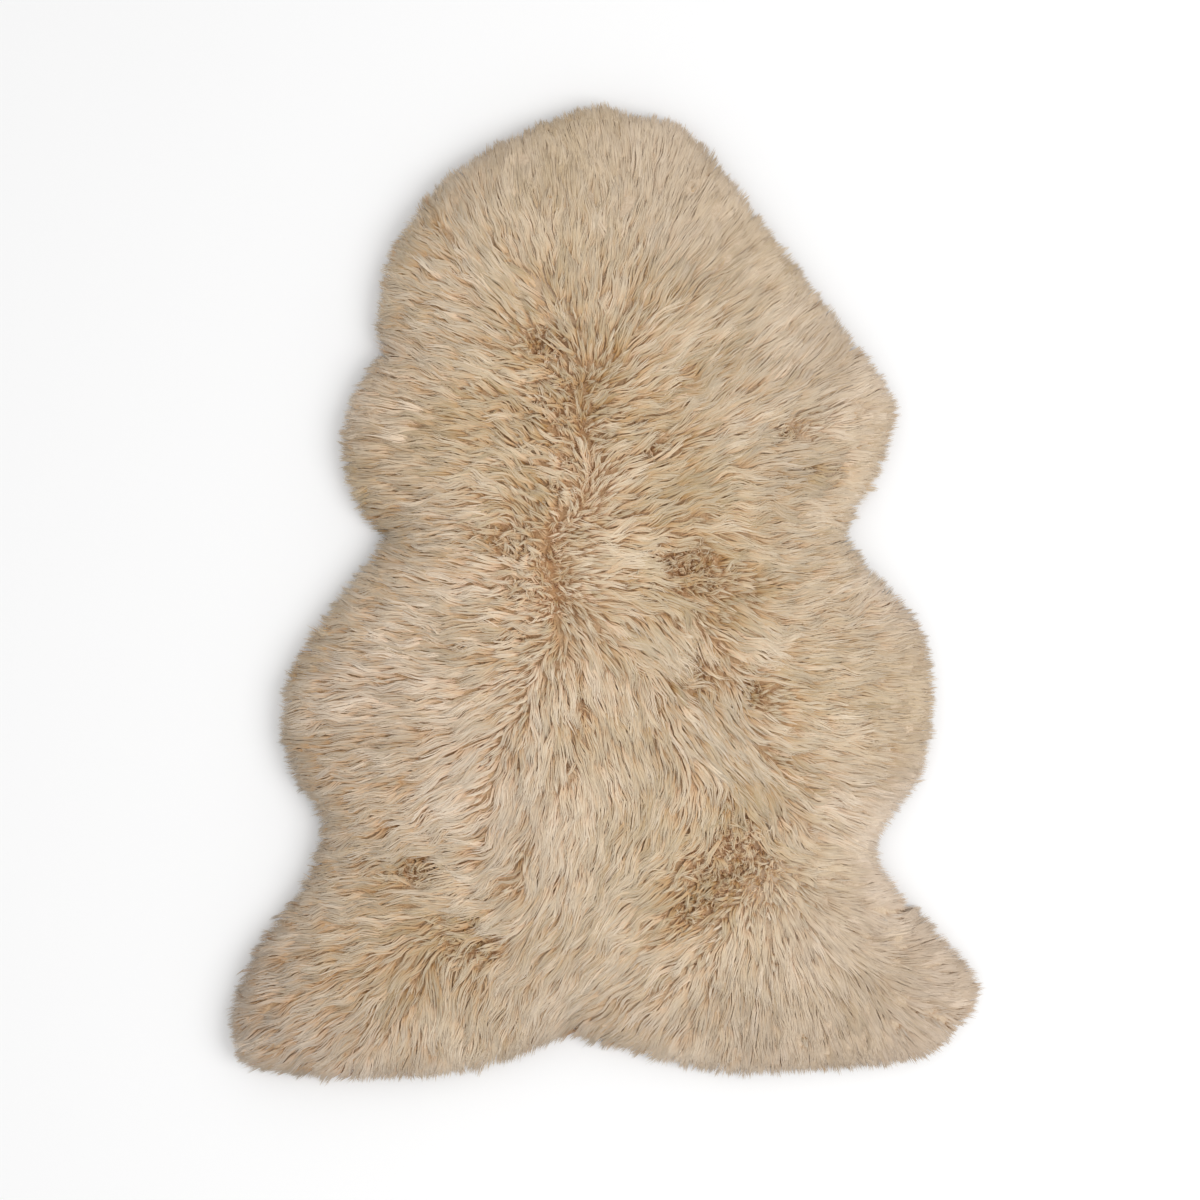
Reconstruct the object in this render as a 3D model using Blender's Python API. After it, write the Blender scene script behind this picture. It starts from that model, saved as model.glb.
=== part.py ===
"""A sheepskin rug lying flat: one tanned skin with its long, combed wool on.

Metres, +Z up. The neck points to +Y and the hind legs lie at -Y. The origin is the middle of the
rug's box, on the floor. The solid reaches as far as the wool does: a flat underside, a rounded rim
where the outermost locks droop to the floor, and a crowned, slightly uneven top.
"""

from collections import namedtuple

import bmesh
import bpy
import numpy as np
from mathutils import Vector
from mathutils.geometry import delaunay_2d_cdt, interpolate_bezier

MM = 0.001

# Driving dimensions, in metres
WOOL_TOP = 0.046  # height of the combed wool above the floor, away from the rim
RIM_HEIGHT = 0.011  # the wool reaches furthest out at this height
RIM_ROLL = 0.062  # how far in from the edge the wool takes to rise to its full height
UNDERCUT = 0.010  # how far the flat underside stays back from the wool's edge
EDGE_STEP = 0.0135  # spacing of the points along the outline
TOP_STEP = 0.0165  # spacing of the points over the top
RING_DEPTHS = (0.004, 0.011, 0.021, 0.034)  # distances in from the edge of the rings that round it
RING_SPARE = 0.97  # a ring's point is left out where the edge comes nearer than this share of its depth
LEAST_APART = 0.4 * EDGE_STEP  # between neighbours on a ring, which crowd inside a bend
GRID_SPARE = 0.6 * TOP_STEP  # between the last ring and the grid over the top
INSIDE_BORDER, MERGE_WITHIN, TELL_OWNERS = 1, 1e-7, True  # how the top is divided into triangles
SHARP_ANGLE = np.radians(35)

WOOL_COLOUR = (0.52, 0.40, 0.275, 1.0)
WOOL_ROUGHNESS = 0.95

# The outline of the wool, counter-clockwise from the neck. A nick is a corner where two lobes meet.
Landmark = namedtuple("Landmark", "name x_mm y_mm nick")
OUTLINE = (
    Landmark("neck_peak", -11, 474, False),
    Landmark("shoulder_left_top", -146, 411, False),
    Landmark("shoulder_left_side", -208, 330, False),
    Landmark("foreleg_left_root", -222, 248, False),
    Landmark("foreleg_left_nick", -215, 235, True),
    Landmark("foreleg_left_top", -241, 201, False),
    Landmark("foreleg_left_front", -256, 148, False),
    Landmark("foreleg_left_low", -246, 98, False),
    Landmark("foreleg_left_heel", -223, 63, False),
    Landmark("waist_left", -210, 58, True),
    Landmark("belly_left_top", -304, -73, False),
    Landmark("belly_left", -314, -139, False),
    Landmark("belly_left_low", -300, -182, False),
    Landmark("groin_left", -275, -223, False),
    Landmark("thigh_left", -295, -287, False),
    Landmark("hind_leg_left", -338, -345, False),
    Landmark("hind_leg_left_low", -359, -396, False),
    Landmark("hind_foot_left", -363, -435, False),
    Landmark("rump_left_corner", -348, -461, False),
    Landmark("rump_left", -200, -472, False),
    Landmark("rump_left_inner", -103, -456, False),
    Landmark("tail_notch", -38, -429, True),
    Landmark("rump_right_inner", 111, -465, False),
    Landmark("rump_right", 218, -462, False),
    Landmark("rump_right_corner", 311, -451, False),
    Landmark("hind_leg_right_low", 347, -418, False),
    Landmark("hind_foot_right", 364, -383, False),
    Landmark("hind_leg_right", 335, -344, False),
    Landmark("thigh_right", 291, -295, False),
    Landmark("groin_right", 262, -250, False),
    Landmark("belly_right_low", 312, -160, False),
    Landmark("belly_right_top", 308, -41, False),
    Landmark("flank_right", 235, 51, False),
    Landmark("waist_right", 234, 68, True),
    Landmark("foreleg_right_low", 261, 109, False),
    Landmark("foreleg_right_tip", 285, 179, True),
    Landmark("foreleg_right_top", 265, 214, False),
    Landmark("shoulder_right_side", 212, 283, False),
    Landmark("shoulder_right_top", 104, 424, False),
    Landmark("neck_right", 70, 457, False),
    Landmark("neck_dip", 30, 464, False),
)

# Where the wool stands up or lies low: a round swelling or hollow of each radius and height.
Swell = namedtuple("Swell", "name x_mm y_mm radius_mm rise_mm")
SWELLS = (
    Swell("back_ridge_front", -20, 190, 90, 5),
    Swell("back_ridge_middle", -10, 60, 80, 4),
    Swell("loin", 20, -110, 100, 5),
    Swell("croup", -10, -280, 110, 3),
    Swell("whorl_neck", -52, 240, 22, -5),
    Swell("open_fleece_right", 130, -258, 36, -6),
    Swell("open_fleece_middle", 60, 27, 28, -4),
    Swell("swirl_left", -178, -265, 26, -5),
    Swell("swirl_left_low", -122, -330, 26, -4),
    Swell("parting_waist", -88, 55, 26, -3),
)


def tangent(points, nicks, i):
    """The outline's direction through point i, or None at a nick, where each side goes straight."""
    if nicks[i]:
        return None
    before = points[i] - points[i - 1]
    after = points[(i + 1) % len(points)] - points[i]
    return (before + after) / (before.length + after.length)


def outline():
    """Points round the wool's edge, about EDGE_STEP apart, centred on the origin."""
    points = [Vector((m.x_mm * MM, m.y_mm * MM)) for m in OUTLINE]
    nicks = [m.nick for m in OUTLINE]
    edge = []
    for i, start in enumerate(points):
        j = (i + 1) % len(points)
        end = points[j]
        chord = end - start
        leave = tangent(points, nicks, i) or chord.normalized()
        arrive = tangent(points, nicks, j) or chord.normalized()
        reach = chord.length / 3
        steps = max(2, round(chord.length / EDGE_STEP) + 1)
        run = interpolate_bezier(start, start + leave * reach, end - arrive * reach, end, steps)
        edge += [(p[0], p[1]) for p in run[:-1]]
    edge = np.array(edge)
    return edge - (edge.min(axis=0) + edge.max(axis=0)) / 2


def inward(edge):
    """The unit normal at each edge point, pointing into the rug."""
    along = np.roll(edge, -1, axis=0) - np.roll(edge, 1, axis=0)
    normal = np.column_stack((-along[:, 1], along[:, 0]))
    return normal / np.linalg.norm(normal, axis=1)[:, None]


def edge_distance(points, edge):
    """How far each point lies from the outline."""
    start = edge[None, :, :]
    run = np.roll(edge, -1, axis=0)[None, :, :] - start
    offset = points[:, None, :] - start
    share = np.clip((offset * run).sum(axis=2) / (run**2).sum(axis=2), 0, 1)
    return np.linalg.norm(offset - share[:, :, None] * run, axis=2).min(axis=1)


def inside(points, edge):
    """True for each point inside: a line from it to +X crosses the edge an odd number of times."""
    x, y = points[:, 0, None], points[:, 1, None]
    start, end = edge, np.roll(edge, -1, axis=0)
    spans = (start[:, 1] > y) != (end[:, 1] > y)
    rise = np.where(spans, end[:, 1] - start[:, 1], 1.0)
    crossing = start[:, 0] + (y - start[:, 1]) / rise * (end[:, 0] - start[:, 0])
    return (spans & (x < crossing)).sum(axis=1) % 2 == 1


def top_height(points, distance):
    """The wool's height: a quarter of an ellipse up from the rim, then swells and dips further in."""
    inwards = np.clip(distance / RIM_ROLL, 0, 1)
    roll = np.sqrt(1 - (1 - inwards) ** 2)
    uneven = np.zeros(len(points))
    for s in SWELLS:
        away = np.hypot(points[:, 0] - s.x_mm * MM, points[:, 1] - s.y_mm * MM)
        uneven += s.rise_mm * MM * np.exp(-((away / (s.radius_mm * MM)) ** 2))
    return RIM_HEIGHT + roll * (WOOL_TOP - RIM_HEIGHT + uneven)


def rim_rings(edge):
    """Points on rings inside the edge, which give the rim its round section."""
    normal = inward(edge)
    rings = []
    for depth in RING_DEPTHS:
        ring = edge + normal * depth
        clear = edge_distance(ring, edge) > RING_SPARE * depth
        ring = ring[clear & inside(ring, edge)]
        apart = np.linalg.norm(ring - np.roll(ring, 1, axis=0), axis=1) > LEAST_APART
        rings.append(ring[apart])
    return np.vstack(rings)


def top_grid(edge):
    """A grid of equal triangles over the rest of the top."""
    low, high = edge.min(axis=0), edge.max(axis=0)
    row_step = TOP_STEP * np.sqrt(3) / 2
    grid = []
    for row, y in enumerate(np.arange(low[1], high[1], row_step)):
        shift = TOP_STEP / 2 * (row % 2)
        grid += [(x + shift, y) for x in np.arange(low[0], high[0], TOP_STEP)]
    grid = np.array(grid)
    deep = edge_distance(grid, edge) > RING_DEPTHS[-1] + GRID_SPARE
    return grid[deep & inside(grid, edge)]


def sheepskin_mesh():
    """The closed mesh: a crowned top, a band tucked in under the rim and a flat underside."""
    edge = outline()
    plan = np.vstack((edge, rim_rings(edge), top_grid(edge)))
    corners = [Vector(p) for p in plan]
    border = list(range(len(edge)))
    placed, _, triangles, _, _, owners = delaunay_2d_cdt(
        corners, [], [border], INSIDE_BORDER, MERGE_WITHIN, TELL_OWNERS
    )
    spots = np.array(placed)
    heights = top_height(spots, edge_distance(spots, edge))
    heights[: len(edge)] = RIM_HEIGHT

    shape = bmesh.new()
    top = [shape.verts.new((x, y, z)) for (x, y), z in zip(spots, heights)]
    for triangle, owner in zip(triangles, owners):
        if owner:  # the others fill the bays outside the outline
            shape.faces.new([top[i] for i in triangle])
    foot = edge + inward(edge) * UNDERCUT
    under = [shape.verts.new((x, y, 0.0)) for x, y in foot]
    for i in border:
        j = (i + 1) % len(border)
        shape.faces.new((under[i], under[j], top[j], top[i]))
    underside = shape.faces.new(under[::-1])
    bmesh.ops.triangulate(shape, faces=[underside])
    bmesh.ops.recalc_face_normals(shape, faces=shape.faces)

    mesh = bpy.data.meshes.new("sheepskin")
    shape.to_mesh(mesh)
    shape.free()
    mesh.shade_smooth()
    mesh.set_sharp_from_angle(angle=SHARP_ANGLE)
    return mesh


def wool_material():
    material = bpy.data.materials.new("wool")
    material.use_nodes = True
    surface = material.node_tree.nodes["Principled BSDF"]
    surface.inputs["Base Color"].default_value = WOOL_COLOUR
    surface.inputs["Roughness"].default_value = WOOL_ROUGHNESS
    surface.inputs["Metallic"].default_value = 0.0
    return material


def main():
    for thing in list(bpy.data.objects):
        bpy.data.objects.remove(thing, do_unlink=True)
    rug = bpy.data.objects.new("sheepskin", sheepskin_mesh())
    rug.data.materials.append(wool_material())
    bpy.context.scene.collection.objects.link(rug)


main()
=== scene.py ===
"""The looks of a sheepskin rug: long combed wool on a tanned skin, lying on a pale floor."""

import math
from collections import namedtuple

import bpy
import numpy as np
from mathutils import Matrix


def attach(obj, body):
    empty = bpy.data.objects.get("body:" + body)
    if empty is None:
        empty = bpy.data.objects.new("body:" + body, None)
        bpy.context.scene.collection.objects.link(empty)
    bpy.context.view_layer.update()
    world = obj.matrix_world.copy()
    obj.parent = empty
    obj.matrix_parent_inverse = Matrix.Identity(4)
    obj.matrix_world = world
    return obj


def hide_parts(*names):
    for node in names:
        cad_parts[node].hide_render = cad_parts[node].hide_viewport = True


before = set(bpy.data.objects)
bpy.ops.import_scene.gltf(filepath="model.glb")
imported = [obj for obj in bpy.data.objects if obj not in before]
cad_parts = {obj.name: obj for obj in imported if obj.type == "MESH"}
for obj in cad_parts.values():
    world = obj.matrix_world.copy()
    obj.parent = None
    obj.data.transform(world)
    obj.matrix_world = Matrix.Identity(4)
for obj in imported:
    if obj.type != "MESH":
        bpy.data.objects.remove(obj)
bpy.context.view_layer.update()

MM = 0.001
TURN = 2 * math.pi
TINY = 1e-9
RUG = "sheepskin"
DRAW = np.random.default_rng(20)

# ---------------------------------------------------------------- sizes, in metres
WOOL_TOP = 0.046  # the combed wool's height away from the rim, as in the CAD solid
RIM_HEIGHT = 0.011  # the wool reaches furthest out at this height
RIM_ROLL = 0.062  # how far in from the edge the wool takes to rise to its full height
DROOP = 0.8  # how steeply a tip past the edge falls
SAME_HEIGHT = 1e-5
CENTRE = np.array((0.004, -0.007))  # every part of the outline can be seen from here
GRID_STEP, GRID_MARGIN = 0.0025, 0.02

HIDE_THICK, HIDE_LIFT = 0.002, 0.0002  # the heights of its upper and lower side
HIDE_INSET = 0.030  # from the wool's edge to the skin's edge
HIDE_POINTS, HIDE_RINGS = 240, 6
UNDERCOAT_INSET, UNDERCOAT_ROLL = 0.007, 0.012  # from the wool's edge, and from there to its full height
UNDERCOAT_STEP = 0.0055  # between its points
UNDERCOAT_SHARE = 0.90  # of the wool's height
UNDERCOAT_WAVE, UNDERCOAT_DIP = 0.0012, 0.0055  # how uneven it is, and how much lower in an open place

LOCK_STEP = 0.0075  # between the roots of neighbouring locks
LOCK_SPREAD = 0.62 * LOCK_STEP  # from the middle of a lock to its outermost wisps
LOCK_JITTER, JITTER = 0.45, 0.5  # of the step, for combed locks and for all other roots
ROOT_INSET = 0.014  # the outermost roots, from the wool's edge
WISPS = 4  # in a combed lock
FIBRES = 4  # strands in a combed wisp
TUFT = 7  # strands in an upright wisp
CURL = 5  # strands in a curl
UPRIGHT_STEP = 0.0050  # between the roots of neighbouring upright wisps
CURLY_STEP = 0.0042  # between the roots of neighbouring curls
FRINGE_STEP, FRINGE_BAND = 0.010, 0.028  # between the low locks round the rim, and how far in their roots lie
COMBED_ROWS, UPRIGHT_ROWS, CURLY_ROWS = 4, 6, 9  # spans along a strand
COMBED_START, UPRIGHT_START, CURLY_START = 0.36, 0.26, 0.25  # the share that is buried, and not built
STRAND_WIDTH, UPRIGHT_WIDTH, CURLY_WIDTH = 0.00096, 0.0010, 0.0011
LOWEST = 0.0006  # of any strand, above the floor
REACH = 0.050  # from a lock's root to its tip, seen from above
SHORTEST = 0.013  # a combed lock that stops short of an open place
STRIDE, STEPS = 0.0055, 16  # how a lock's way over the skin is followed
NEVER = 1.0  # stands for a crossing further along than any lock reaches
RAGGED_MEAN, RAGGED_SPREAD, RAGGED_WAVE = -0.0007, 0.0018, 0.0014  # where the tips end, inside the edge
LOW_RIM = 0.045  # locks rooted nearer to the edge may lie lower than the rest
WAVE = 0.0021  # how far a lock sways to and fro
STRAY_WISP, STRAY_STRAND, HOOK = 0.0020, 0.0006, 0.0040  # how far tips turn aside, and in open places
ARCH = 0.0013  # how much lower a lock's sides lie than its middle
CALM_RIM = 0.11  # how far in from the edge the wool lies more evenly
CALMING = 0.6  # the share of a lock's swing and sway that goes where the wool is calm

FULL_COVER = 2.0  # layers of combed wool that hide what is under them
COVER_BLUR, THIN_INSET = 0.0030, 0.010
LEAST_SEEN = 2.3  # layers over a strand, above which it is hidden all along and left out
SEEN_CELL = 0.004
PIECE_TRIANGLES = 190000

WAVE_LENGTHS, WAVE_PEAK = (0.7, 1.5), 1.6
STROKE_WIDTH, STROKE_FALL = 0.006, 1.7  # how wide a stroke is, and how fast its pull falls off beside it

# ---------------------------------------------------------------- colours, from the root to the tip; the lower stops also give the painted shade below the top of the wool
HUES, LIGHTS = 8, 32  # the strips of the wool's colour chart
ROSY_WOOL = (
    (0.30, (0.68, 0.375, 0.17)),
    (0.50, (0.735, 0.463, 0.262)),
    (0.75, (0.722, 0.56, 0.41)),
    (1.0, (0.727, 0.642, 0.545)),
)
GOLDEN_WOOL = (
    (0.30, (0.68, 0.345, 0.10)),
    (0.50, (0.745, 0.443, 0.178)),
    (0.75, (0.735, 0.542, 0.305)),
    (1.0, (0.745, 0.62, 0.43)),
)
CREAM = (0.735, 0.675, 0.60)
UNDERCOATS = (  # dark and light, under shut wool, in open places, and at the rim and under calm wool
    ((0.50, 0.31, 0.155), (0.62, 0.41, 0.235)),
    ((0.51, 0.255, 0.10), (0.67, 0.385, 0.185)),
    ((0.60, 0.455, 0.315), (0.70, 0.555, 0.405)),
)

# ---------------------------------------------------------------- stage, in metres, watts and millimetres
FLOOR_SIZE, FLOOR_COLOUR = 12, (0.95, 0.95, 0.95, 1)
SKY_STRENGTH = 0.82
KEY_PLACE, KEY_SIZE, KEY_WATTS = (1.7, -0.5, 2.0), 1.6, 28
LENS_MM, SENSOR_MM = 85, 36
VIEW_WIDTH = 1.1668  # of the frame, at VIEW_HEIGHT
VIEW_CENTRE, VIEW_HEIGHT = (-0.00535, -0.00729), 0.012

# ---------------------------------------------------------------- how the wool is combed
# The comb's strokes over each part, in mm: x, y where the locks are rooted, then x, y where they point.
STROKES = {
    "neck": (
        (-35, 284, -35, 411), (-33, 421, -46, 464), (-62, 299, -91, 382), (-91, 382, -97, 435),
        (-88, 270, -132, 314), (-124, 318, -156, 387), (-5, 270, 6, 362), (4, 401, -7, 464),
        (26, 275, 82, 430), (34, 382, 43, 455),
    ),
    "shoulder_right": (
        (38, 265, 121, 391), (48, 241, 175, 343), (38, 209, 131, 270), (131, 255, 218, 328),
    ),
    "foreleg_right": (
        (92, 182, 170, 250), (179, 207, 243, 280), (4, 171, 82, 187), (97, 153, 170, 192),
        (179, 177, 277, 221), (48, 129, 141, 168), (155, 136, 281, 158), (38, 90, 131, 134),
        (141, 107, 257, 109),
    ),
    "waist_right": (
        (38, 61, 92, 85), (102, 78, 238, 69), (-44, 46, 82, 51), (92, 54, 160, 35), (179, 43, 267, 66),
        (-44, 20, 43, 24), (82, 17, 179, 20), (-25, -7, 43, -14),
    ),
    "belly_right": (
        (82, -4, 160, -36), (179, -12, 238, 2), (238, -12, 291, 27), (92, -36, 179, -71),
        (189, -38, 311, -19), (160, -66, 320, -58), (160, -97, 323, -106), (152, -119, 218, -136),
        (228, -128, 320, -126), (148, -145, 311, -175), (155, -175, 191, -205), (199, -189, 291, -216),
    ),
    "thigh_right": (
        (189, -211, 267, -243), (170, -260, 267, -268),
    ),
    "back": (
        (-30, -19, -5, -61), (-5, -27, 43, -61), (43, -27, 72, -75), (87, -27, 104, -66),
        (34, -56, 82, -87), (-7, -70, 6, -109), (22, -75, 34, -134), (53, -95, 77, -139),
        (111, -100, 145, -158), (-64, -85, -70, -173), (-39, -95, -15, -202), (14, -139, 34, -207),
        (82, -139, 121, -182),
    ),
    "rump": (
        (-59, -192, -73, -289), (-20, -221, -36, -304), (34, -211, 0, -284), (65, -192, 53, -231),
        (111, -192, 106, -231), (160, -192, 181, -236), (82, -250, 19, -294), (136, -284, 43, -333),
        (106, -328, -15, -406), (-44, -289, -88, -367), (0, -299, -54, -382), (43, -367, -5, -425),
        (97, -357, 65, -416),
    ),
    "shoulder_left": (
        (-54, 267, -122, 321), (-132, 292, -200, 335), (-69, 241, -151, 279), (-161, 265, -219, 284),
        (-73, 202, -161, 234), (-171, 221, -244, 246),
    ),
    "foreleg_left": (
        (-59, 163, -107, 192), (-103, 177, -161, 187), (-161, 176, -253, 195), (-59, 134, -103, 150),
        (-112, 139, -258, 145), (-64, 105, -103, 127), (-112, 109, -258, 109), (-69, 75, -103, 103),
        (-112, 82, -229, 74),
    ),
    "waist_left": (
        (-73, 43, -132, 61), (-132, 49, -205, 51), (-59, 15, -112, 26), (-122, 20, -239, 46),
    ),
    "belly_left": (
        (-73, -7, -161, -5), (-161, -9, -278, 14), (-73, -35, -151, -38), (-161, -40, -292, -15),
        (-81, -58, -151, -73), (-171, -68, -309, -51), (-81, -85, -141, -112), (-151, -97, -313, -99),
        (-91, -112, -171, -151), (-176, -126, -314, -131), (-85, -143, -103, -197),
        (-112, -148, -176, -195), (-166, -153, -307, -173),
    ),
    "thigh_left": (
        (-112, -177, -200, -233), (-190, -180, -287, -202), (-88, -202, -105, -255),
        (-120, -213, -214, -252), (-200, -216, -273, -239), (-81, -239, -122, -284),
        (-122, -250, -278, -266), (-98, -272, -287, -287),
    ),
    "hind_leg_left": (
        (-81, -297, -132, -333), (-122, -306, -321, -311), (-171, -328, -258, -348),
        (-258, -330, -351, -348), (-103, -330, -141, -328), (-59, -333, -103, -382),
        (-180, -343, -229, -396), (-248, -357, -355, -387), (-239, -382, -355, -440),
        (-248, -416, -317, -469), (-200, -396, -224, -469), (-161, -367, -169, -469),
        (-112, -377, -127, -459), (-69, -382, -88, -445),
    ),
    "hind_leg_right": (
        (141, -309, 141, -464), (121, -323, 92, -459), (165, -309, 191, -459), (181, -309, 243, -459),
        (189, -299, 262, -382), (243, -372, 277, -455), (204, -292, 267, -318), (238, -299, 320, -284),
        (267, -333, 335, -314), (243, -350, 301, -377), (291, -357, 359, -348), (296, -385, 369, -385),
        (286, -401, 335, -440),
    ),
}

# Where the fleece opens, in mm and degrees: curly upright wool with dark gaps.
Opening = namedtuple("Opening", "name x_mm y_mm radius_x_mm radius_y_mm turn depth")
OPENINGS = (
    Opening("neck_whorl", -56, 238, 21, 19, 0, 1.0),
    Opening("spine_a", -44, 202, 42, 28, -50, 0.5),
    Opening("spine_side", -88, 150, 26, 52, 15, 0.35),
    Opening("spine_b", -44, 153, 34, 58, 0, 0.55),
    Opening("spine_c", -39, 90, 34, 36, 0, 0.42),
    Opening("shoulder_dark", 34, 139, 21, 33, 20, 0.6),
    Opening("waist_left_a", -83, 46, 32, 20, -20, 0.8),
    Opening("waist_left_b", -73, 2, 23, 21, 0, 0.5),
    Opening("waist_left_c", -78, -46, 14, 16, 0, 0.5),
    Opening("waist_right", 70, 26, 48, 24, -10, 0.82),
    Opening("waist_right_b", 82, 2, 29, 16, 0, 0.6),
    Opening("flank_a", 82, -66, 28, 24, 0, 0.8),
    Opening("flank_b", 142, -95, 9, 18, 0, 1.3),
    Opening("loin_swirl", -27, -105, 16, 16, 0, 0.55),
    Opening("loin_swirl_b", -39, -158, 17, 14, 0, 0.55),
    Opening("rump_open", 126, -255, 49, 41, 20, 1.0),
    Opening("rump_open_low", 92, -299, 39, 18, 25, 0.9),
    Opening("rump_open_tail", 72, -362, 23, 14, 10, 0.45),
    Opening("swirl_left", -176, -265, 31, 17, 0, 0.95),
    Opening("swirl_left_low", -122, -333, 35, 21, -25, 0.75),
    Opening("spot_a", 173, 154, 13, 9, 0, 1.3),
    Opening("spot_b", 194, 114, 20, 9, 0, 0.7),
)

# Where the wool is lighter (tone), yellower (hue) or more evenly combed (calm), or less so below 0.
Tint = namedtuple("Tint", "name x_mm y_mm radius_mm tone hue calm")
TINTS = (
    Tint("neck_right", 60, 420, 80, 0.14, 0.1, 0.8),
    Tint("shoulder_left", -170, 290, 70, -0.05, 0.3, -0.35),
    Tint("foreleg_left_heel", -235, 90, 40, -0.05, 0.6, 0.0),
    Tint("waist_left", -180, 60, 80, -0.26, 0.0, -0.5),
    Tint("spine_front", -45, 165, 55, 0.0, 0.45, 0.0),
    Tint("spine_middle", -50, 70, 50, 0.12, 0.2, 0.0),
    Tint("waist_middle", 62, 60, 60, -0.08, 0.15, 0.0),
    Tint("neck_middle", -55, 300, 60, 0.10, 0.1, 0.45),
    Tint("neck_left", -60, 415, 60, 0.0, 0.1, 0.8),
    Tint("flank_left", -275, -30, 60, -0.05, 0.6, -0.3),
    Tint("back_middle", -50, 30, 90, 0.18, 0.1, 0.0),
    Tint("waist_right", 60, 80, 70, 0.0, 0.3, 0.0),
    Tint("flank_right", 183, 60, 80, -0.15, 0.0, 0.0),
    Tint("belly_left", -180, -110, 90, 0.05, -0.4, -0.6),
    Tint("belly_left_edge", -310, -180, 80, -0.7, 0.1, -0.3),
    Tint("belly_right_edge", 300, -90, 80, -0.35, 0.2, 0.5),
    Tint("loin", -50, -180, 110, 0.26, -0.1, 0.35),
    Tint("loin_right", 62, -177, 80, -0.12, 0.15, 0.0),
    Tint("belly_right_low", 300, -180, 70, -0.08, -0.35, 0.3),
    Tint("rump_right", 185, -410, 80, -0.25, -0.1, 0.45),
    Tint("thigh_left", -190, -290, 70, -0.22, 0.0, -0.45),
    Tint("thigh_right", 180, -290, 70, 0.12, 0.0, 0.55),
    Tint("hind_leg_left", -330, -400, 80, -0.3, -0.3, -0.5),
    Tint("hind_leg_right", 310, -400, 80, -0.25, -0.4, 0.7),
    Tint("thigh_right_edge", 290, -280, 70, 0.0, -0.4, 0.4),
    Tint("foreleg_left", -200, 165, 80, 0.0, 0.0, -0.8),
    Tint("foreleg_right", 225, 190, 80, 0.0, 0.0, 0.5),
    Tint("shoulder_right", 110, 330, 90, 0.0, 0.0, 0.55),
)

# Where the wool stands up or lies low, as in the CAD solid.
Swell = namedtuple("Swell", "name x_mm y_mm radius_mm rise_mm")
SWELLS = (
    Swell("back_ridge_front", -20, 190, 90, 5),
    Swell("back_ridge_middle", -10, 60, 80, 4),
    Swell("loin", 20, -110, 100, 5),
    Swell("croup", -10, -280, 110, 3),
    Swell("whorl_neck", -52, 240, 22, -5),
    Swell("open_fleece_right", 130, -258, 36, -6),
    Swell("open_fleece_middle", 60, 27, 28, -4),
    Swell("swirl_left", -178, -265, 26, -5),
    Swell("swirl_left_low", -122, -330, 26, -4),
    Swell("parting_waist", -88, 55, 26, -3),
)


# ---------------------------------------------------------------- fields over the rug
def unit(v):
    return v / np.maximum(np.linalg.norm(v, axis=-1, keepdims=True), TINY)


def rug_edge():
    """The wool's outline, read from the CAD solid: its points at the rim's height, in order round it."""
    spots = np.array([v.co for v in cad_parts[RUG].data.vertices])
    rim = spots[np.abs(spots[:, 2] - RIM_HEIGHT) < SAME_HEIGHT][:, :2]
    rim = np.unique(np.round(rim, 6), axis=0)
    turn = np.arctan2(rim[:, 1] - CENTRE[1], rim[:, 0] - CENTRE[0])
    return rim[np.argsort(turn)]


EDGE = rug_edge()


def edge_distance(points, chunk=4000):
    """Signed distance to the outline: positive inside the rug."""
    start, end = EDGE, np.roll(EDGE, -1, axis=0)
    run = end - start
    long2 = (run**2).sum(axis=1)
    out = np.empty(len(points))
    for k in range(0, len(points), chunk):
        p = points[k : k + chunk]
        offset = p[:, None, :] - start[None]
        share = np.clip((offset * run).sum(axis=2) / long2, 0, 1)
        near = np.sqrt(((offset - share[:, :, None] * run) ** 2).sum(axis=2).min(axis=1))
        y = p[:, 1, None]
        spans = (start[:, 1] > y) != (end[:, 1] > y)
        rise = np.where(np.abs(run[:, 1]) > TINY, run[:, 1], 1.0)
        crossing = start[:, 0] + (y - start[:, 1]) / rise * run[:, 0]
        inside = (spans & (p[:, 0, None] < crossing)).sum(axis=1) % 2 == 1
        out[k : k + chunk] = np.where(inside, near, -near)
    return out


def waves(points, length, count, seed):
    """Smooth noise from about -1 to 1, with bumps about length across: a sum of plane waves."""
    draw = np.random.default_rng(seed)
    angle = draw.uniform(0, TURN, count)
    k = TURN / (length * draw.uniform(*WAVE_LENGTHS, count))
    phase = draw.uniform(0, TURN, count)
    flat = points.reshape(-1, 2)
    total = np.zeros(len(flat))
    for a, kk, ph in zip(angle, k, phase):
        total += np.sin((flat[:, 0] * math.cos(a) + flat[:, 1] * math.sin(a)) * kk + ph)
    return (total / math.sqrt(count / 2) / WAVE_PEAK).reshape(points.shape[:-1])


def comb(points, chunk=20000):
    """The combed heading at each point, for which the nearest strokes count most."""
    strokes = np.array([stroke for part in STROKES.values() for stroke in part]) * MM
    starts, ends = strokes[:, :2], strokes[:, 2:]
    run = ends - starts
    long = np.linalg.norm(run, axis=1)
    way = run / long[:, None]
    out = np.empty((len(points), 2))
    for k in range(0, len(points), chunk):
        p = points[k : k + chunk]
        offset = p[:, None, :] - starts[None]
        share = np.clip((offset * run).sum(axis=2) / long**2, 0, 1)
        away2 = ((offset - share[:, :, None] * run) ** 2).sum(axis=2)
        weight = 1 / (away2 + STROKE_WIDTH**2) ** STROKE_FALL
        out[k : k + chunk] = (weight[:, :, None] * way).sum(axis=1) / weight.sum(axis=1)[:, None]
    return out


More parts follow.
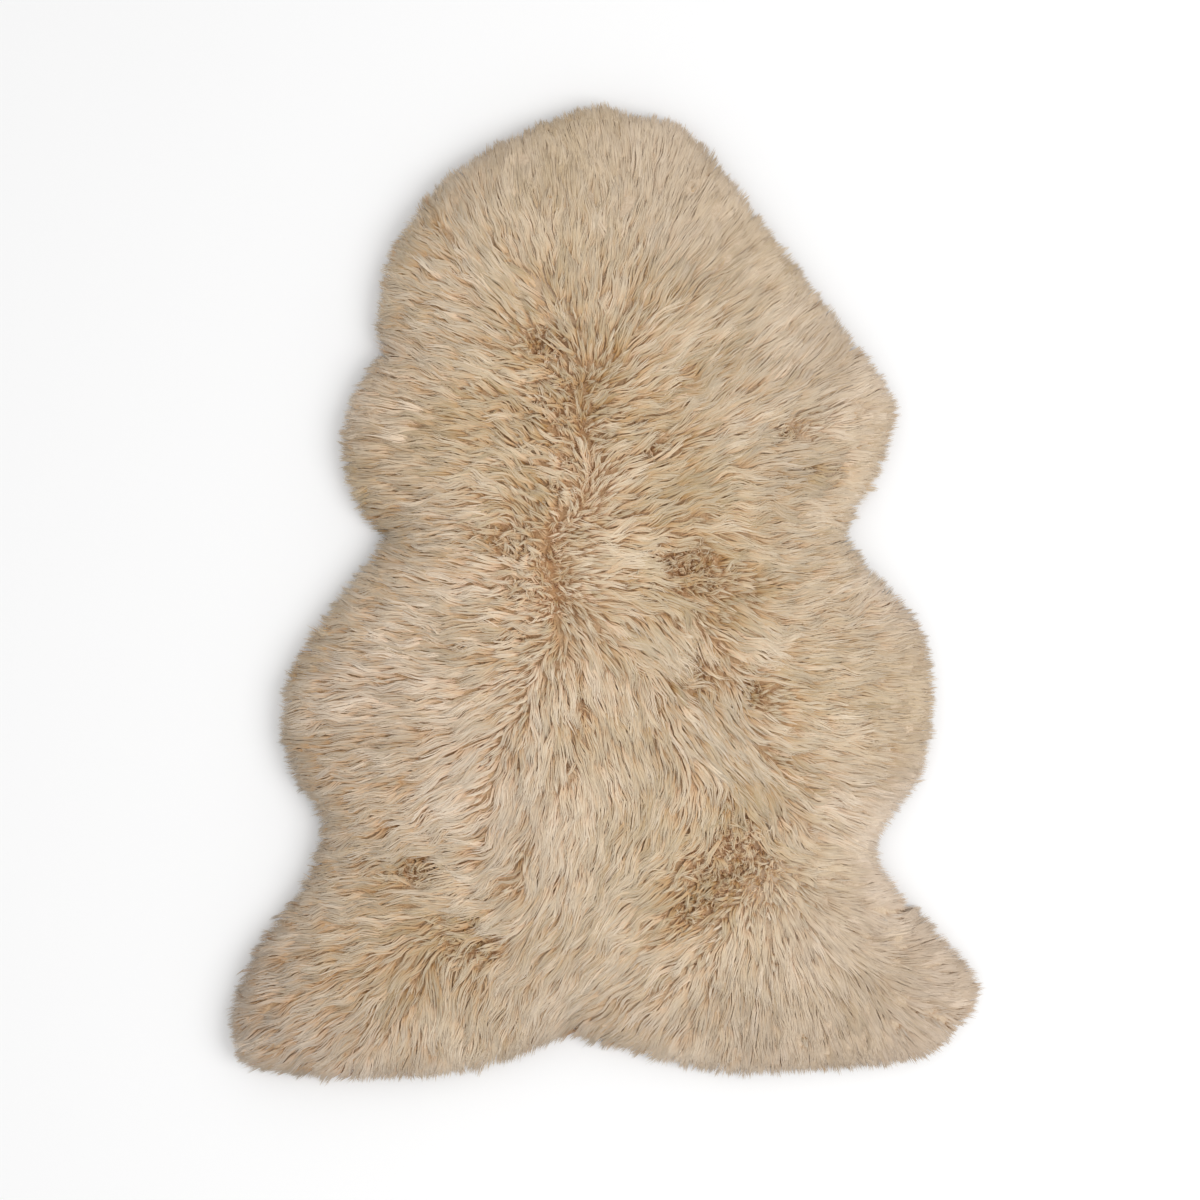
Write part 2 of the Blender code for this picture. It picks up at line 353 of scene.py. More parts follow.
def openness(points):
    """0 where the wool is combed shut, up to 1 in the middle of an open, curly place."""
    total = np.zeros(len(points))
    for o in OPENINGS:
        c, s = math.cos(math.radians(o.turn)), math.sin(math.radians(o.turn))
        dx, dy = points[:, 0] - o.x_mm * MM, points[:, 1] - o.y_mm * MM
        u, v = (dx * c + dy * s) / (o.radius_x_mm * MM), (-dx * s + dy * c) / (o.radius_y_mm * MM)
        total = np.maximum(total, o.depth * np.exp(-((u * u + v * v) ** 1.3) * 0.9))
    return total


def top_height(points, distance):
    """The wool's height, as in the CAD solid: a quarter of an ellipse up from the rim, then swells."""
    inwards = np.clip(distance / RIM_ROLL, 0, 1)
    uneven = np.zeros(len(points))
    for s in SWELLS:
        away = np.hypot(points[:, 0] - s.x_mm * MM, points[:, 1] - s.y_mm * MM)
        uneven += s.rise_mm * MM * np.exp(-((away / (s.radius_mm * MM)) ** 2))
    return RIM_HEIGHT + np.sqrt(1 - (1 - inwards) ** 2) * (WOOL_TOP - RIM_HEIGHT + uneven)


class Grid:
    """Values worked out once on a square grid over the rug, and read anywhere between its points."""

    def __init__(self):
        self.low = EDGE.min(axis=0) - GRID_MARGIN
        high = EDGE.max(axis=0) + GRID_MARGIN
        self.size = np.ceil((high - self.low) / GRID_STEP).astype(int) + 1
        xs, ys = np.meshgrid(np.arange(self.size[0]), np.arange(self.size[1]), indexing="ij")
        self.points = self.low + np.column_stack((xs.ravel(), ys.ravel())) * GRID_STEP

    def read(self, values, points):
        cell = (points - self.low) / GRID_STEP
        cell = np.clip(cell, 0, self.size - 1.001)
        corner = cell.astype(int)
        part = cell - corner
        table = values.reshape(self.size[0], self.size[1], -1)
        i, j = corner[..., 0], corner[..., 1]
        u, v = part[..., 0, None], part[..., 1, None]
        out = (table[i, j] * (1 - u) + table[i + 1, j] * u) * (1 - v)
        out = out + (table[i, j + 1] * (1 - u) + table[i + 1, j + 1] * u) * v
        return out if values.ndim > 1 else out[..., 0]

    def blur(self, values, radius):
        """Values averaged over about radius: a bell-shaped weight along x, then along y."""
        reach = math.ceil(2.5 * radius / GRID_STEP)
        bell = np.exp(-((np.arange(-reach, reach + 1) * GRID_STEP / radius) ** 2))
        bell /= bell.sum()
        table = values.reshape(self.size[0], self.size[1], -1)
        for axis in (0, 1):
            edges = [(reach, reach) if k == axis else (0, 0) for k in range(3)]
            padded = np.pad(table, edges, mode="edge")
            near = np.arange(table.shape[axis])
            table = sum(w * np.take(padded, near + k, axis=axis) for k, w in enumerate(bell))
        return table.reshape(values.shape)


grid = Grid()
DISTANCE = edge_distance(grid.points)
HEADING = comb(grid.points)
ACCORD = np.linalg.norm(grid.blur(unit(HEADING), 0.022), axis=1)  # near 0 on a parting
PARTED = 0.7 * np.clip(1.25 - 1.55 * ACCORD, 0, 1)
PATCHY = np.clip(0.85 + 0.4 * waves(grid.points, 0.024, 16, 21), 0.2, 1.15)
OPEN = np.minimum(np.maximum(openness(grid.points), PARTED) * PATCHY, 1.0)
TOP = top_height(grid.points, DISTANCE)
TOP = np.where(DISTANCE < 0, RIM_HEIGHT + DISTANCE * DROOP, TOP)


def tinted(points, which):
    """What TINTS adds at each point to the wool's tone, hue or calm."""
    total = np.zeros(len(points))
    for tint in TINTS:
        away = np.hypot(points[:, 0] - tint.x_mm * MM, points[:, 1] - tint.y_mm * MM)
        total += getattr(tint, which) * np.exp(-((away / (tint.radius_mm * MM)) ** 2))
    return total


def calmness(points):
    """Up to 1 where the wool lies evenly, as towards the rim, and below 0 where it lies in strong locks."""
    rim = np.clip(1.25 - grid.read(DISTANCE, points) / CALM_RIM, 0, 1)
    return np.clip(0.45 * rim + tinted(points, "calm"), -0.9, 1)


def region_tone(points):
    """How light the wool is: darker at the rim, uneven over the skin, and darker on the left and lighter on
    the right, which is painted light as from the key lamp on the right.
    """
    rim = np.clip(1 - grid.read(DISTANCE, points) / 0.07, 0, 1)
    uneven = 0.14 * waves(points, 0.07, 12, 9) + 0.14 * waves(points, 0.022, 14, 8)
    evened = 0.12 * np.maximum(calmness(points), 0)
    # 0.2 * x is painted light: lighter towards the key lamp on the right, darker away from it
    return 0.55 + uneven + 0.2 * points[:, 0] - 0.25 * rim - evened + tinted(points, "tone")


def region_hue(points):
    """From 0, rosy, near the rim to 1, golden, along the back."""
    inner = np.clip(grid.read(DISTANCE, points) / 0.15, 0, 1)
    return 0.2 + 0.52 * inner + 0.12 * waves(points, 0.16, 8, 10) + tinted(points, "hue")


# ---------------------------------------------------------------- materials
def new_material(name):
    material = bpy.data.materials.new(name)
    material.use_nodes = True
    return material, material.node_tree.nodes, material.node_tree.links


class Nodes:
    """Short ways to add nodes to one material."""

    def __init__(self, material):
        self.nodes, self.links = material.node_tree.nodes, material.node_tree.links

    def feed(self, socket, value):
        if isinstance(value, (int, float)):
            socket.default_value = value
        elif isinstance(value, tuple):
            socket.default_value = (*value, 1.0)[: len(socket.default_value)]
        else:
            self.links.new(value, socket)

    def maths(self, operation, a, b=0.0):
        n = self.nodes.new("ShaderNodeMath")
        n.operation = operation
        self.feed(n.inputs[0], a)
        self.feed(n.inputs[1], b)
        return n.outputs[0]

    def ramp(self, value, *stops):
        n = self.nodes.new("ShaderNodeValToRGB")
        row = n.color_ramp.elements
        while len(row) < len(stops):
            row.new(0.5)
        for element, (place, colour) in zip(row, stops):
            element.position, element.color = place, (*colour, 1.0)
        self.feed(n.inputs[0], value)
        return n.outputs[0]

    def mix(self, kind, share, a, b):
        n = self.nodes.new("ShaderNodeMix")
        n.data_type, n.blend_type = "RGBA", kind
        self.feed(n.inputs[0], share)
        self.feed(n.inputs[6], a)
        self.feed(n.inputs[7], b)
        return n.outputs[2]

    def join(self, x, y, z=0.0):
        n = self.nodes.new("ShaderNodeCombineXYZ")
        for socket, value in zip(n.inputs, (x, y, z)):
            self.feed(socket, value)
        return n.outputs[0]

    def noise(self, vector, scale, detail):
        n = self.nodes.new("ShaderNodeTexNoise")
        self.feed(n.inputs["Vector"], vector)
        n.inputs["Scale"].default_value = scale
        n.inputs["Detail"].default_value = detail
        return n.outputs["Fac"]

    def bump(self, height, strength, distance):
        n = self.nodes.new("ShaderNodeBump")
        n.inputs["Strength"].default_value = strength
        n.inputs["Distance"].default_value = distance
        self.feed(n.inputs["Height"], height)
        return n.outputs[0]


def wool_material():
    """The UV map holds each strand's colours: hue and lightness across, root to tip up, where lower also
    carries painted shade below the top of the wool.
    """
    material, nodes, links = new_material("wool")
    surface = nodes["Principled BSDF"]
    k = Nodes(material)
    uv = nodes.new("ShaderNodeUVMap")
    uv.uv_map = "OFBake"
    split = nodes.new("ShaderNodeSeparateXYZ")
    links.new(uv.outputs["UV"], split.inputs[0])
    u, v = split.outputs[0], split.outputs[1]
    hue8 = k.maths("MULTIPLY", u, HUES)
    hue = k.maths("DIVIDE", k.maths("FLOOR", hue8), HUES - 1)
    light = k.maths("FLOOR", k.maths("MULTIPLY", k.maths("FRACT", hue8), LIGHTS))
    light = k.maths("DIVIDE", light, LIGHTS - 1)
    across = k.maths("FRACT", k.maths("MULTIPLY", u, HUES * LIGHTS))
    base = k.mix("MIX", hue, k.ramp(v, *ROSY_WOOL), k.ramp(v, *GOLDEN_WOOL))
    base = k.mix("MIX", k.maths("MULTIPLY", light, 0.4), base, CREAM)
    streak = k.noise(k.join(k.maths("MULTIPLY", u, 1300.0), k.maths("MULTIPLY", v, 5.0)), 1.0, 2.0)
    level = k.maths("ADD", k.maths("MULTIPLY", light, 0.42), 0.67)
    level = k.maths("MULTIPLY", level, k.maths("ADD", k.maths("MULTIPLY", streak, 0.26), 0.87))
    links.new(k.mix("MULTIPLY", 1.0, base, k.join(level, level, level)), surface.inputs["Base Color"])
    links.new(k.maths("ADD", k.maths("MULTIPLY", streak, 0.2), 0.62), surface.inputs["Roughness"])
    round_ = k.maths("MULTIPLY", across, k.maths("SUBTRACT", 1.0, across))
    height = k.maths("ADD", round_, k.maths("MULTIPLY", streak, 0.4))
    links.new(k.bump(height, 0.2, 0.0006), surface.inputs["Normal"])
    surface.inputs["Sheen Weight"].default_value = 0.08
    surface.inputs["Sheen Roughness"].default_value = 0.5
    surface.inputs["Specular IOR Level"].default_value = 0.15
    return material


def undercoat_material():
    """Crimped wool, browner in the open places and paler at the rim and where the wool is calm."""
    material, nodes, links = new_material("undercoat")
    surface = nodes["Principled BSDF"]
    k = Nodes(material)
    place = nodes.new("ShaderNodeTexCoord").outputs["Object"]
    crimp = k.noise(place, 420.0, 4.0)
    patch = k.noise(place, 40.0, 2.0)
    shut, deep, flank = [k.ramp(crimp, (0.35, dark), (0.65, light)) for dark, light in UNDERCOATS]
    opened, side = nodes.new("ShaderNodeAttribute"), nodes.new("ShaderNodeAttribute")
    opened.attribute_name, side.attribute_name = "open", "side"
    colour = k.mix("MIX", opened.outputs["Fac"], shut, deep)
    colour = k.mix("MIX", side.outputs["Fac"], colour, flank)
    shadow = k.ramp(patch, (0.3, (0.7, 0.68, 0.65)), (0.7, (1.0, 1.0, 1.0)))
    colour = k.mix("MULTIPLY", 0.5, colour, shadow)
    links.new(colour, surface.inputs["Base Color"])
    links.new(k.maths("ADD", k.maths("MULTIPLY", crimp, 0.15), 0.8), surface.inputs["Roughness"])
    links.new(k.bump(crimp, 0.5, 0.002), surface.inputs["Normal"])
    return material


def hide_material():
    """The suede side of a tanned skin."""
    material, nodes, links = new_material("hide")
    surface = nodes["Principled BSDF"]
    k = Nodes(material)
    place = nodes.new("ShaderNodeTexCoord").outputs["Object"]
    nap = k.noise(place, 900.0, 3.0)
    patch = k.noise(place, 18.0, 3.0)
    colour = k.ramp(patch, (0.3, (0.58, 0.47, 0.35)), (0.7, (0.68, 0.58, 0.46)))
    shadow = k.ramp(nap, (0.3, (0.8, 0.78, 0.75)), (0.7, (1.0, 1.0, 1.0)))
    colour = k.mix("MULTIPLY", 0.4, colour, shadow)
    links.new(colour, surface.inputs["Base Color"])
    links.new(k.maths("ADD", k.maths("MULTIPLY", nap, 0.12), 0.82), surface.inputs["Roughness"])
    links.new(k.bump(nap, 0.5, 0.0005), surface.inputs["Normal"])
    return material


# ---------------------------------------------------------------- skin and undercoat
def add_object(name, mesh, material):
    mesh.materials.append(material)
    thing = bpy.data.objects.new(name, mesh)
    bpy.context.scene.collection.objects.link(thing)
    return thing


def smooth(mesh):
    mesh.polygons.foreach_set("use_smooth", np.ones(len(mesh.polygons), dtype=bool))


def ring_inside(depth, count):
    """Points of the line that runs depth inside the wool's edge, one for each direction from CENTRE."""
    turn = np.arange(count) * TURN / count
    way = np.column_stack((np.cos(turn), np.sin(turn)))
    reach = np.zeros(count)
    for r in np.arange(0.02, 0.62, 0.0005):
        deep = grid.read(DISTANCE, CENTRE + way * r) > depth
        reach = np.where(deep, r, reach)
    return CENTRE + way * reach[:, None]


def build_hide(material):
    """The tanned skin, a closed flat sheet: rings of points shrink towards CENTRE above, a fan below."""
    ring = ring_inside(HIDE_INSET, HIDE_POINTS)
    count = len(ring)
    shares = np.linspace(1, 0, HIDE_RINGS + 1)[:-1] ** 0.9
    levels = [CENTRE + (ring - CENTRE) * share for share in shares] + [CENTRE[None]]
    above = np.vstack(levels)
    below = np.vstack((ring, CENTRE[None]))
    verts = np.vstack((np.insert(above, 2, HIDE_THICK, axis=1), np.insert(below, 2, HIDE_LIFT, axis=1)))
    around = [(i, (i + 1) % count) for i in range(count)]
    faces = []
    for start in range(0, (HIDE_RINGS - 1) * count, count):
        faces += [(start + i, start + j, start + count + j, start + count + i) for i, j in around]
    last, start = (HIDE_RINGS - 1) * count, len(above)
    faces += [(last + i, last + j, start - 1) for i, j in around]
    top_faces = len(faces)
    faces += [(start + i, start + j, j, i) for i, j in around]
    faces += [(start + j, start + i, start + count) for i, j in around]
    mesh = bpy.data.meshes.new("hide")
    mesh.from_pydata(verts.tolist(), [], faces)
    layer = mesh.uv_layers.new(name="OFBake")
    span = (EDGE.max(axis=0) - EDGE.min(axis=0)).max() * 1.1
    for face in mesh.polygons:
        for loop in face.loop_indices:
            x, y, _ = mesh.vertices[mesh.loops[loop].vertex_index].co
            u, v = x / span + 0.5, y / span + 0.5
            layer.uv[loop].vector = (u / 2 + (0.5 if face.index >= top_faces else 0.0), v)
    return add_object("hide", mesh, material), ring


def build_undercoat(material):
    """The dense wool close to the skin: a square grid, with its outermost points moved onto its edge."""
    low, high = EDGE.min(axis=0), EDGE.max(axis=0)
    xs, ys = np.arange(low[0], high[0], UNDERCOAT_STEP), np.arange(low[1], high[1], UNDERCOAT_STEP)
    across, along = np.meshgrid(xs, ys, indexing="ij")
    spots = np.column_stack((across.ravel(), along.ravel()))
    gap = grid.read(DISTANCE, spots) - UNDERCOAT_INSET
    inside = (gap > -0.3 * UNDERCOAT_STEP).reshape(across.shape)
    whole = inside[:-1, :-1] & inside[1:, :-1] & inside[1:, 1:] & inside[:-1, 1:]
    i, j = np.nonzero(whole)
    corner = i * len(ys) + j
    faces = np.column_stack((corner, corner + len(ys), corner + len(ys) + 1, corner + 1))
    used, faces = np.unique(faces, return_inverse=True)
    spots, gap = spots[used], gap[used]
    slopes = np.gradient(DISTANCE.reshape(grid.size))
    inward = unit(np.column_stack([grid.read(slope.ravel(), spots) for slope in slopes]))
    outermost = (gap < 0.7 * UNDERCOAT_STEP)[:, None]
    spots = np.where(outermost, spots - inward * gap[:, None], spots)

    distance, opened = grid.read(DISTANCE, spots), grid.read(OPEN, spots)
    calm = np.clip(calmness(spots), 0, 1)
    inwards = np.clip((distance - UNDERCOAT_INSET) / UNDERCOAT_ROLL, 0, 1)
    share = UNDERCOAT_SHARE + 0.045 * calm
    z = HIDE_THICK + np.sqrt(1 - (1 - inwards) ** 2) * (grid.read(TOP, spots) * share - HIDE_THICK)
    uneven = UNDERCOAT_WAVE * waves(spots, 0.012, 12, 31) * (1 - 0.8 * calm)
    z += (uneven - UNDERCOAT_DIP * opened) * inwards
    mesh = bpy.data.meshes.new("undercoat")
    mesh.from_pydata(np.column_stack((spots, z)).tolist(), [], faces.reshape(-1, 4).tolist())
    layer = mesh.uv_layers.new(name="OFBake")
    index = np.empty(len(mesh.loops), dtype=np.int32)
    mesh.loops.foreach_get("vertex_index", index)
    uv = (spots[index] - low) / (high - low).max()
    layer.uv.foreach_set("vector", uv.astype(np.float32).ravel())
    smooth(mesh)
    side = np.maximum(np.clip(1.6 - distance / 0.025, 0, 1), np.minimum(1.3 * calm, 1))
    for name, values in (("open", opened), ("side", side)):
        layer = mesh.attributes.new(name, "FLOAT", "POINT")
        layer.data.foreach_set("value", values.astype(np.float32))
    return add_object("undercoat", mesh, material)


# ---------------------------------------------------------------- strands
Ribbons = namedtuple("Ribbons", "path across half strip shade")


def root_grid(step, spread):
    """A jittered grid of equal triangles over the skin."""
    low, high = EDGE.min(axis=0), EDGE.max(axis=0)
    row = step * math.sqrt(3) / 2
    xs, ys = np.meshgrid(np.arange(low[0], high[0], step), np.arange(low[1], high[1], row))
    xs = xs + (np.arange(len(xs))[:, None] % 2) * step / 2
    roots = np.column_stack((xs.ravel(), ys.ravel()))
    roots += DRAW.uniform(-spread, spread, roots.shape) * step
    return roots[grid.read(DISTANCE, roots) > ROOT_INSET]


def follow(roots, swing):
    """Each lock's way over the skin in steps of STRIDE, and how far along it the rug's edge comes."""
    cos, sin = np.cos(swing), np.sin(swing)
    track = [roots]
    for _ in range(STEPS):
        way = unit(grid.read(HEADING, track[-1]))
        way = np.column_stack((way[:, 0] * cos - way[:, 1] * sin, way[:, 0] * sin + way[:, 1] * cos))
        track.append(track[-1] + way * STRIDE)
    track = np.stack(track, axis=1)
    gap = grid.read(DISTANCE, track)
    ragged = RAGGED_MEAN + RAGGED_SPREAD * DRAW.standard_normal(len(roots))
    ragged += RAGGED_WAVE * waves(roots, 0.03, 10, 5)
    over = gap < ragged[:, None]
    crosses = over.any(axis=1)
    first = np.where(crosses, over.argmax(axis=1), STEPS)
    before = np.maximum(first - 1, 0)
    who = np.arange(len(roots))
    fall = np.maximum(gap[who, before] - gap[who, first], 1e-6)
    part = np.clip((gap[who, before] - ragged) / fall, 0, 1)
    return track, np.where(crosses, (before + part) * STRIDE, NEVER)


def along_track(track, lock, s):
    """Points at arc lengths s on the locks' tracks, with the directions along and across there."""
    place = np.clip(s / STRIDE, 0, STEPS - 1e-3)
    k = place.astype(int)
    part = (place - k)[:, :, None]
    here, there = track[lock[:, None], k], track[lock[:, None], k + 1]
    ahead = unit(there - here)
    normal = np.stack((-ahead[:, :, 1], ahead[:, :, 0]), axis=2)
    return here * (1 - part) + there * part, ahead, normal


def ribbons(xy, z, normal, roll, half, strip, shade):
    """Flat strands along the path xy, z, turned about it by roll."""
    path = np.concatenate((xy, np.maximum(z, LOWEST)[:, :, None]), axis=2)
    tangent = unit(np.gradient(path, axis=1))
    flat = np.concatenate((normal, np.zeros(z.shape + (1,))), axis=2)
    face = unit(np.cross(tangent, flat))
    across = flat * np.cos(roll)[:, :, None] + face * np.sin(roll)[:, :, None]
    return Ribbons(path, across, half, strip, np.broadcast_to(shade, z.shape))


def tapered(width, t, start, thinning, power):
    """Half the strands' width at each t: even up to start, then thinner towards the tip."""
    return width[:, None] / 2 * (1 - thinning * np.clip((t - start) / (1 - start), 0, 1) ** power)


def paint(tone, hue):
    """The strip of the colour chart for each strand."""
    tone, hue = np.clip(tone, 0, 0.999), np.clip(hue, 0, 0.999)
    return np.floor(hue * HUES) * LIGHTS + np.floor(tone * LIGHTS)


def depth_shade(t, below, calm):
    """The place up the colour chart: browner towards the root, partly the wool's own colour and partly
    painted shade, and darker and browner below the top of the wool, which is painted shade in the fleece's
    depths.
    """
    brown = 0.8 * (1 - t) + 0.36 * np.clip(below / 0.004, 0, 1) - 0.05
    return np.clip(1 - brown - 0.75 * np.abs(calm) * (0.24 - brown), 0.05, 1)


def lock_ways(roots, opened, calm):
    """The combed locks' tracks, where the rug's edge crosses them, and how far along them the tips lie."""
    n = len(roots)
    swing = 0.14 * waves(roots, 0.035, 14, 1) + 0.10 * waves(roots, 0.014, 14, 2)
    swing = swing * (1 - CALMING * np.abs(calm))
    swing += DRAW.normal(0, 0.06, n)
    swing += opened * DRAW.normal(0, 0.5, n)
    track, limit = follow(roots, swing)
    accord = np.clip(1.7 * (grid.read(ACCORD, roots) - 0.36), 0.22, 1)
    reach = REACH * (1 + 0.15 * DRAW.standard_normal(n)) * accord * (1 - 0.4 * opened)
    stretch = (limit > reach) & (limit < reach * 1.4) & (DRAW.random(n) < 0.75)
    reach = np.where(stretch, limit, np.minimum(reach, limit))
    shy = grid.read(OPEN, track) > DRAW.uniform(0.3, 1.0, n)[:, None]
    short = np.where(shy.any(axis=1), shy.argmax(axis=1) * STRIDE, NEVER)
    return track, limit, np.minimum(reach, np.maximum(short, SHORTEST))


def combed(roots, low=False):
    """Locks of wisps of strands that rise from the skin and lie down along the comb's strokes."""
    n, wisps, count = len(roots), len(roots) * WISPS, len(roots) * WISPS * FIBRES
    lock, wisp = np.repeat(np.arange(n), WISPS * FIBRES), np.repeat(np.arange(wisps), FIBRES)
    opened, calm = grid.read(OPEN, roots), calmness(roots)
    rim = np.clip(1 - grid.read(DISTANCE, roots) / LOW_RIM, 0, 1)
    track, limit, reach = lock_ways(roots, opened, calm)
    lowered, top = DRAW.random(n) < rim, DRAW.uniform(0.45, 1.0, n)
    level = np.where(lowered, top, 1 - 0.045 * DRAW.random(n) * (1 - 0.7 * calm))
    if low:
        level = DRAW.uniform(0.0, 0.6, n)
    lift = DRAW.uniform(0.22, 0.40, n)  # the share of its reach that a lock takes to rise

    # where each wisp and strand starts, across and along the lock
    spot, turn = LOCK_SPREAD * np.sqrt(DRAW.random(wisps)), DRAW.uniform(0, TURN, wisps)
    wisp_side, wisp_along = spot * np.cos(turn), spot * np.sin(turn)
    side = DRAW.normal(0, 0.0009, count)
    along = wisp_along[wisp] + DRAW.normal(0, 0.002, count)
    uneven = (1 + 0.10 * DRAW.standard_normal(wisps))[wisp]
    reach = reach[lock] * uneven * (1 + 0.05 * DRAW.standard_normal(count))
    reach = np.clip(reach, 0.008, limit[lock] + 0.002 * DRAW.random(count))

    # the path seen from above: along the track, gathered to a tip, with stray tips and a sway
    t = np.linspace(COMBED_START, 1.0, COMBED_ROWS + 1)[None, :]
    s = reach[:, None] * (2 * t * (1 - t) * lift[lock][:, None] + t * t)
    xy, ahead, normal = along_track(track, lock, s)
    gather = np.clip(1 - 1.4 * calm, 0.15, 1.3)[lock][:, None]
    lateral = wisp_side[wisp][:, None] * (1 - 0.16 * gather * t**2)
    lateral = lateral + side[:, None] * (1 - 0.45 * gather * t**1.5)
    stray = DRAW.normal(0, STRAY_WISP, wisps)[wisp] * (1 - 0.5 * np.abs(calm[lock]))
    stray = stray + DRAW.normal(0, STRAY_STRAND, count)
    hook = DRAW.normal(0, HOOK, wisps)[wisp] * opened[lock]
    lateral = lateral + stray[:, None] * t**2 + hook[:, None] * t**4
    amplitude = (WAVE * (1 - 0.4 * rim) * (1 - CALMING * np.abs(calm)))[lock][:, None]
    amplitude = amplitude * np.clip(t * 1.6, 0, 1)
    lateral = lateral + amplitude * (1.1 * waves(xy, 0.030, 16, 11) + 0.45 * waves(xy, 0.014, 16, 12))
    xy = xy + normal * lateral[:, :, None] + ahead * (along[:, None] * (1 - 0.5 * t))[:, :, None]

    # its height: up from the skin, then level just under the top of the wool
    rise = (1 - (1 - np.clip(t / 0.8, 0, 1)) ** 3.8) * (0.965 + 0.035 * t)
    rise = rise - 0.02 * np.clip((t - 0.85) / 0.15, 0, 1) ** 2
    tall = (level[lock] + 0.008 * DRAW.standard_normal(count) * (1 - 0.5 * calm[lock]))[:, None]
    arch = ARCH * (wisp_side[wisp] / LOCK_SPREAD) ** 2 * (1 - 0.7 * calm[lock])
    top = grid.read(TOP, xy)
    below = (top - HIDE_THICK) * (1 - rise * tall) + arch[:, None] * t
    z = top - below
    z = z + 0.0014 * waves(xy, 0.024, 14, 13) * np.clip(t * 1.5, 0, 1) * (1 - rim[lock])[:, None]
    roll = DRAW.normal(0, 0.06, count)[:, None] + DRAW.normal(0, 0.12, count)[:, None] * (t - 0.6)
    roll = roll * (1 - CALMING * calm[lock])[:, None]
    if low:  # these hang down to the floor and turn their flat sides out, where the light reaches them
        z = z * (1 - 0.9 * np.clip((t - 0.45) / 0.5, 0, 1) ** 1.5)
        roll = roll + DRAW.normal(0, 0.4, count)[:, None]
        # no painted shade from lying below the top of the wool on these hanging strands
        below = np.zeros_like(below)
    width = STRAND_WIDTH * DRAW.uniform(0.75, 1.25, count) * (1 - 0.2 * rim[lock])

    tone = region_tone(roots) + 0.13 * DRAW.standard_normal(n) * (1 - 0.9 * calm) - 0.12 * opened
    finer = 0.06 * DRAW.standard_normal(wisps)[wisp] + 0.03 * DRAW.standard_normal(count)
    tone = tone[lock] + finer * (1 - CALMING * calm[lock])
    hue = (region_hue(roots) + 0.05 * DRAW.standard_normal(n) + 0.35 * opened)[lock]
    strip = paint(tone, hue + 0.04 * DRAW.standard_normal(count))
    # painted shade: strands darker and browner where they lie below the top of the wool
    shade = depth_shade(t, below, calm[lock][:, None])
    return ribbons(xy, z, normal, roll, tapered(width, t, 0.45, 0.85, 2), strip, shade)


def turned(wisp, t):
    """How far each strand of the standing wisps is turned about itself."""
    return DRAW.normal(0, 0.3, len(wisp))[:, None] + np.zeros_like(t)


def uneven_width(width, wisp):
    return width * DRAW.uniform(0.7, 1.2, len(wisp))


def wisp_strip(roots, wisp, spread, tone, hue):
    """The strips for standing wisps: tone and hue are added to the region's, spread makes wisps differ."""
    tone = region_tone(roots) + spread * DRAW.standard_normal(len(roots)) + tone
    tone = tone[wisp] + 0.08 * DRAW.standard_normal(len(wisp))
    hue = region_hue(roots) + hue + 0.06 * DRAW.standard_normal(len(roots))
    return paint(tone, hue[wisp])


def upright(roots):
    """Short wisps that stand up and curl, where the combed wool parts or opens."""
    n = len(roots)
    opened = np.clip(grid.read(OPEN, roots) * 1.3, 0, 1)
    track, limit = follow(roots, DRAW.normal(0, 1, n) * (0.13 + 0.8 * opened))
    wisp = np.repeat(np.arange(n), TUFT)
    count = len(wisp)
    reach = np.minimum(DRAW.uniform(0.013, 0.030, n) * (1 - 0.5 * opened), limit)
    t = np.linspace(UPRIGHT_START, 1.0, UPRIGHT_ROWS + 1)[None, :]
    s = (reach[wisp] * (1 + 0.08 * DRAW.standard_normal(count)))[:, None] * t**1.5
    xy, ahead, normal = along_track(track, wisp, s)
    curl = (DRAW.uniform(0.0005, 0.0013, n) * (0.5 + 1.4 * opened))[wisp][:, None]
    turns = (DRAW.uniform(0.4, 0.8, n) + opened * DRAW.uniform(0.3, 0.6, n))[wisp][:, None] * t
    start = (DRAW.uniform(0, TURN, n)[wisp] + DRAW.normal(0, 0.3, count))[:, None]
    phase = start + TURN * turns
    side = DRAW.normal(0, 0.0019, count)[:, None] * (1 - 0.72 * t**1.3)
    along = DRAW.normal(0, 0.0014, count)[:, None] * (1 - 0.5 * t) - 0.35 * reach[wisp][:, None]
    xy = xy + normal * (side + curl * np.sin(phase) * t)[:, :, None]
    xy = xy + ahead * (along + curl * np.cos(phase) * t * 0.8)[:, :, None]
    tall = (DRAW.uniform(0.93, 1.03, n) - 0.14 * opened * DRAW.random(n))[wisp][:, None]
    rise = 1 - (1 - np.clip(t / 0.9, 0, 1)) ** 3.2
    top = grid.read(TOP, xy)
    z = HIDE_THICK + (top - HIDE_THICK) * tall * rise + curl * np.cos(phase + 0.8) * 0.7
    roll, width = turned(wisp, t), uneven_width(UPRIGHT_WIDTH, wisp)
    strip = wisp_strip(roots, wisp, 0.10, -0.14 * opened, 0.15 + 0.15 * opened)
    # painted shade: strands darker and browner where they lie below the top of the wool
    shade = depth_shade(t, top - z, 0.25 * (1 - opened[wisp])[:, None])
    return ribbons(xy, z, normal, roll, tapered(width, t, 0.45, 0.85, 1.5), strip, shade)


